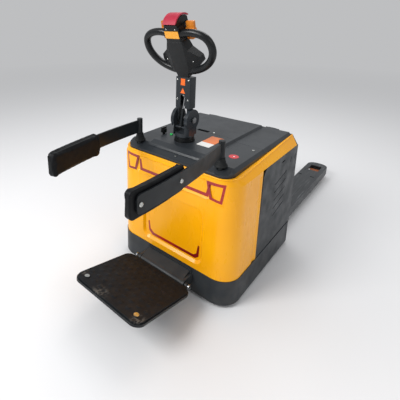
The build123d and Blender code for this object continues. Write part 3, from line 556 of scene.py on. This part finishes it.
boot_outline = [(15.6, 0.4), (30, 0.4), (31, 3), (30.5, 6), (27.5, 8.5), (25.4, 12), (25.6, 14.5),
                (23.4, 17), (22, 22), (22.2, 24.5), (20.4, 27), (19.2, 33), (18.6, 38),
                (19, 40.5), (18.2, 42), (15.6, 42)]
for side in ("left", "right"):
    boot = lathe(f"rubber_boot_{side}", [(r * MM, z * MM) for r, z in boot_outline])
    post = joints[f"arm_{side}_swing"]["pos_m"]
    boot.location = (post[0], post[1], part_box("arm_boots")[0].z)
    boot.data.materials.append(black_rubber)
    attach(boot, "truck_body")
    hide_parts("arm_boots")

screw_outline = [(0.001, 0.0), (1, 0.0), (1, 0.12), (0.92, 0.36), (0.74, 0.52), (0.52, 0.6),
                 (0.46, 0.56), (0.44, 0.2), (0.001, 0.2)]


def screw(name, place, facing, radius, body, finish=None):
    """A button-head screw with its underside at place, looking along facing."""
    piece = lathe(name, [(r * radius, h * radius) for r, h in screw_outline], 24, (6, 7))
    lie = Vector(facing).to_track_quat("Z", "Y").to_matrix().to_4x4()
    piece.matrix_world = Matrix.Translation(Vector(place)) @ lie
    piece.data.materials.append(finish or zinc_plate)
    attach(piece, body)
    return piece


arm_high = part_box("arm_bar_right")[1]
bar_middle = arm_high.z - 8 * MM - 35 * MM
for side in ("left", "right"):
    place_of = arm_place(side)
    for number, (x, y) in enumerate(((45.2, -362), (44.6, -574)), 1):
        spot = place_of @ Vector((x * MM, y * MM, bar_middle))
        screw(f"arm_screw_{side}_{number}", spot, place_of.to_3x3() @ Vector((1, 0, 0)), 9 * MM,
              f"arm_{side}")

column_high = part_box("tiller_column")[1]
pivot = Vector(joints["tiller_tilt"]["pos_m"])
face_y = pivot.y - 26 * MM
for number, (x, z) in enumerate(((-34, 209), (34, 209), (-33, 106), (33, 106)), 1):
    screw(f"column_screw_{number}", (pivot.x + x * MM, face_y, pivot.z + z * MM), (0, -1, 0),
          5 * MM, "tiller")
lid_top = 741 * MM
lid_screw_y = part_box("battery_lid")[0].y + 14.5 * MM
screw("lid_screw", (13 * MM, lid_screw_y, lid_top), (0, 0, 1), 7 * MM, "lid")
print("screws placed")

# %% [markdown]
# ## The tiller head's own frame
# The head leans back 25 degrees on the column. Small pieces on it are placed in the
# head's own directions, across, outwards and up, and one matrix turns them into place.

# %% Screws of the tiller head
head_lean = math.radians(25)
head_foot = Matrix.Translation((pivot.x, face_y, column_high.z))
head_frame = head_foot @ Matrix.Rotation(head_lean, 4, "X")


def on_head(across, out, up):
    return head_frame @ Vector((across * MM, out * MM, up * MM))


front = head_frame.to_3x3() @ Vector((0, -1, 0))
for number, across_mm in enumerate((-26, 26), 1):
    screw(f"head_screw_{number}", on_head(across_mm, 0, 261), front, 3.4 * MM, "tiller")
for number, across_mm in enumerate((-78, 78), 1):
    wing_front = head_frame.to_3x3() @ Vector((math.copysign(0.337, across_mm), -0.941, 0))
    screw(f"wing_screw_{number}", on_head(across_mm, 11.5, 92), wing_front, 4 * MM, "tiller")

# %% [markdown]
# ## Rubber mat
# The platform is covered by a rubber mat with low round studs in staggered rows, so
# that a shoe grips. Studs could be bump only, but then the edge of each would be flat
# from the side. Here the mat's top is a fine net, cut to a round-cornered outline and
# lifted where a stud is. Its rim is pulled down into a wall.

# %% Rubber mat
mat_half, mat_near, mat_far, corner = 205.0, -33.0, -410.0, 42.0
mat_base, mat_top, stud_rise, stud_radius = 5.0, 13.0, 2.4, 11.0
stud_pitch, stud_step = 44.0, 43.0


def stud_places():
    for row in range(8):
        for column in range(-4, 5):
            x = column * stud_pitch + (stud_pitch / 2 if row % 2 else 0)
            y = mat_near - 32 - row * stud_step
            near_corner = abs(x) > mat_half - 68 and y < mat_far + 68
            if abs(x) < mat_half - 22 and y > mat_far + 24 and not near_corner:
                yield x, y


studs = list(stud_places())
screw_spots = [(-156.0, mat_far + 40), (156.0, mat_far + 40)]


def mat_height(x, y):
    height = mat_top
    for stud_x, stud_y in studs:
        away = math.hypot(x - stud_x, y - stud_y) / stud_radius
        if away < 1:
            height += stud_rise * min(1.0, 2.2 * (1 - away * away)) ** 0.7
    for screw_x, screw_y in screw_spots:
        away = math.hypot(x - screw_x, y - screw_y)
        if away < 17:
            height -= 1.2
    return height


def outside(x, y):
    """How far a point lies outside the mat's outline; inside it is negative."""
    middle = (mat_near + mat_far) / 2
    dx = abs(x) - (mat_half - corner)
    dy = abs(y - middle) - ((mat_near - mat_far) / 2 - corner)
    return math.hypot(max(dx, 0), max(dy, 0)) + min(max(dx, dy), 0) - corner


def pull_in(x, y):
    """The nearest point on the outline."""
    middle = (mat_near + mat_far) / 2
    inner_x = max(-(mat_half - corner), min(mat_half - corner, x))
    reach = (mat_near - mat_far) / 2 - corner
    inner_y = middle + max(-reach, min(reach, y - middle))
    away = math.hypot(x - inner_x, y - inner_y) or 1
    return inner_x + (x - inner_x) * corner / away, inner_y + (y - inner_y) * corner / away


net = bmesh.new()
cell = 3.4
columns, rows = int(2 * mat_half / cell) + 2, int((mat_near - mat_far) / cell) + 2
grid = {}
for i in range(columns + 1):
    for j in range(rows + 1):
        x, y = -mat_half + i * 2 * mat_half / columns, mat_far + j * (mat_near - mat_far) / rows
        if outside(x, y) < cell * 0.55:
            if outside(x, y) > -cell * 0.55:
                x, y = pull_in(x, y)
            grid[i, j] = net.verts.new((x, y, mat_height(x, y)))
for (i, j) in list(grid):
    square = [grid.get(key) for key in ((i, j), (i + 1, j), (i + 1, j + 1), (i, j + 1))]
    if None not in square:
        net.faces.new(square)
    elif square.count(None) == 1:
        net.faces.new([v for v in square if v])
bmesh.ops.delete(net, geom=[v for v in net.verts if not v.link_faces], context="VERTS")
border = [e for e in net.edges if len(e.link_faces) == 1]
walls = bmesh.ops.extrude_edge_only(net, edges=border)["geom"]
for vertex in (g for g in walls if isinstance(g, bmesh.types.BMVert)):
    vertex.co.z = mat_base + 0.2
bottom = [e for e in net.edges if len(e.link_faces) == 1]
bmesh.ops.contextual_create(net, geom=bottom)
bmesh.ops.recalc_face_normals(net, faces=net.faces)
mat_mesh = bpy.data.meshes.new("studded_mat")
net.to_mesh(mat_mesh)
net.free()
mat = bpy.data.objects.new("studded_mat", mat_mesh)
bpy.context.collection.objects.link(mat)
hinge = Vector(joints["platform_fold"]["pos_m"])
mat_mesh.transform(Matrix.Translation(hinge) @ Matrix.Rotation(math.radians(-14), 4, "X")
                   @ Matrix.Scale(MM, 4))
edge = mat.modifiers.new("edge", "BEVEL")
edge.width, edge.segments, edge.angle_limit = 1.6 * MM, 2, math.radians(60)
mat_mesh.shade_smooth()
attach(mat, "platform")
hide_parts("platform_mat")
print("mat", len(mat_mesh.vertices), "points,", len(studs), "studs")

# %% [markdown]
# ## Scuffed rubber
# Shoes step on at the outer edge, so there the mat is scraped to a pale brown. The
# scuffs are two soft spots, broken up by streaks and written as a colour change.

# %% Scuffed mat finish
mat_rubber = rubber("scuffed_mat_rubber", "0F1216", "1A1E23", 0.58, 3 * MM, 0.15 * MM, 0.5)
shader = mat_rubber.node_tree.nodes["Principled BSDF"]
lie_node = next(n for n in mat_rubber.node_tree.nodes if n.bl_idname == "ShaderNodeTexCoord")
place = lie_node.outputs["Object"]
under = shader.inputs["Base Color"].links[0].from_socket
to_row = Matrix.Translation(hinge) @ Matrix.Rotation(math.radians(-14), 4, "X")
for x, y, reach in ((-40, -398, 52), (186, -388, 44), (-196, -360, 30)):
    spot = to_row @ Vector((x * MM, y * MM, mat_top * MM))
    gap = add(mat_rubber, "ShaderNodeVectorMath", {0: place, 1: spot}, operation="DISTANCE")
    near = spread(mat_rubber, gap.outputs["Value"], 0.0, reach * MM, 1.0, 0.0)
    streaks = spread(mat_rubber, pattern(mat_rubber, place, 9 * MM, 8, (1, 0.5, 1)), 0.46, 0.62)
    under = blend_colour(mat_rubber, times(mat_rubber, near, streaks), under, linear("66625C"))
join(mat_rubber, under, shader, "Base Color")
mat_mesh.materials.append(mat_rubber)

# %% [markdown]
# ## Rolled rim of the yellow cover
# The cover's top edge is rolled to a bead that catches the light along its whole
# length. It follows the cover's outline, which leans in as it rises, so each point is
# worked out from the outline at its own height and a round bar is run through them.

# %% Rolled rim


def rim_height(y):
    return 686 + 27 * (y + 20) / 792


def rim_point(x, y):
    return Vector((x * MM, (y - 674) * MM, rim_height(y) * MM))


bead = []
for y in range(744, 96, -24):
    lean = (rim_height(y) - 658) / 56
    bead.append(rim_point(364 - 39 * lean, y))
for degrees in range(0, 91, 9):
    angle = math.radians(degrees)
    y_guess = 60.0
    for _ in range(4):
        lean = (rim_height(y_guess) - 658) / 56
        radius = 102 - 39 * lean
        y_guess = 105 - 28 * lean - radius * math.sin(angle)
    bead.append(rim_point(262 + radius * math.cos(angle), y_guess))
bead += [Vector((-p.x, p.y, p.z)) for p in reversed(bead)]
line = bpy.data.curves.new("rim_line", "CURVE")
line.dimensions = "3D"
line.bevel_depth = 4.2 * MM
line.bevel_resolution = 3
line.use_fill_caps = True
spline = line.splines.new("POLY")
spline.points.add(len(bead) - 1)
for point, co in zip(spline.points, bead):
    point.co = (*(co - Vector((0, 0, 2.4 * MM))), 1)
rim = bpy.data.objects.new("rolled_rim", line)
bpy.context.collection.objects.link(rim)
rim_mesh = bpy.data.meshes.new_from_object(rim)
bpy.data.objects.remove(rim)
rim = bpy.data.objects.new("rolled_rim", rim_mesh)
bpy.context.collection.objects.link(rim)
rim_mesh.materials.clear()
rim_mesh.materials.append(yellow_abs)
rim_mesh.shade_smooth()
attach(rim, "truck_body")
print("rim bead through", len(bead), "points")

# %% [markdown]
# ## Camera, light and floor
# The camera stands in front and to the right, a little above the tiller. Its shift
# keeps the truck high in the picture without tilting the lens. A large soft lamp
# over the front left, a weaker one on the right and a pale floor make a studio.

# %% Camera
camera_data = bpy.data.cameras.new("camera")
camera_data.sensor_width = 36.0
camera_data.lens = 336.5 / 400 * 36.0
camera_data.shift_x = 0.127
camera_data.shift_y = -0.2275
camera = bpy.data.objects.new("camera", camera_data)
camera.location = (0.948, -1.878, 1.380)
camera.rotation_euler = (math.radians(90 - 15.37), 0, math.radians(41.94))
bpy.context.collection.objects.link(camera)
bpy.context.scene.camera = camera

# %% Light
scene = bpy.context.scene
scene.view_settings.view_transform = "Standard"
world = bpy.data.worlds.new("studio")
world.use_nodes = True
world.node_tree.nodes["Background"].inputs["Color"].default_value = linear("F2F3F5")
world.node_tree.nodes["Background"].inputs["Strength"].default_value = 0.58
scene.world = world


def soft_lamp(name, place, aim, size, power):
    lamp = bpy.data.lights.new(name, "AREA")
    lamp.shape = "SQUARE"
    lamp.size = size
    lamp.energy = power
    lamp_object = bpy.data.objects.new(name, lamp)
    lamp_object.location = place
    lamp_object.rotation_euler = (Vector(aim) - Vector(place)).to_track_quat("-Z", "Y").to_euler()
    bpy.context.collection.objects.link(lamp_object)


soft_lamp("key", (-1.2, -3.6, 3.2), (0, -0.2, 0.4), 1.7, 135)
soft_lamp("fill", (3.6, -1.0, 2.6), (0, 0, 0.5), 2.0, 20)
soft_lamp("top", (-0.6, 1.6, 4.0), (0, 0, 0.6), 2.6, 60)

# %% Floor
floor_mesh = bpy.data.meshes.new("floor")
floor_mesh.from_pydata([(-30, -30, 0), (30, -30, 0), (30, 30, 0), (-30, 30, 0)], [], [(0, 1, 2, 3)])
floor = bpy.data.objects.new("floor", floor_mesh)
bpy.context.collection.objects.link(floor)
floor_finish, shader, place = new_finish("pale_floor", Roughness=0.9, Specular_IOR_Level=0.1)
shader.inputs["Base Color"].default_value = linear("E6E6E7")
sky = add(floor_finish, "ShaderNodeEmission", {"Color": linear("F2F3F5"), "Strength": 0.58})
far = add(floor_finish, "ShaderNodeVectorMath", {0: place, 1: (0, 0, 0)}, operation="DISTANCE")
fade = spread(floor_finish, far.outputs["Value"], 1.6, 9.0)
ground = add(floor_finish, "ShaderNodeMixShader",
             {0: fade, 1: shader.outputs[0], 2: sky.outputs[0]})
surface = floor_finish.node_tree.nodes["Material Output"].inputs["Surface"]
floor_finish.node_tree.links.new(ground.outputs[0], surface)
floor_mesh.materials.append(floor_finish)
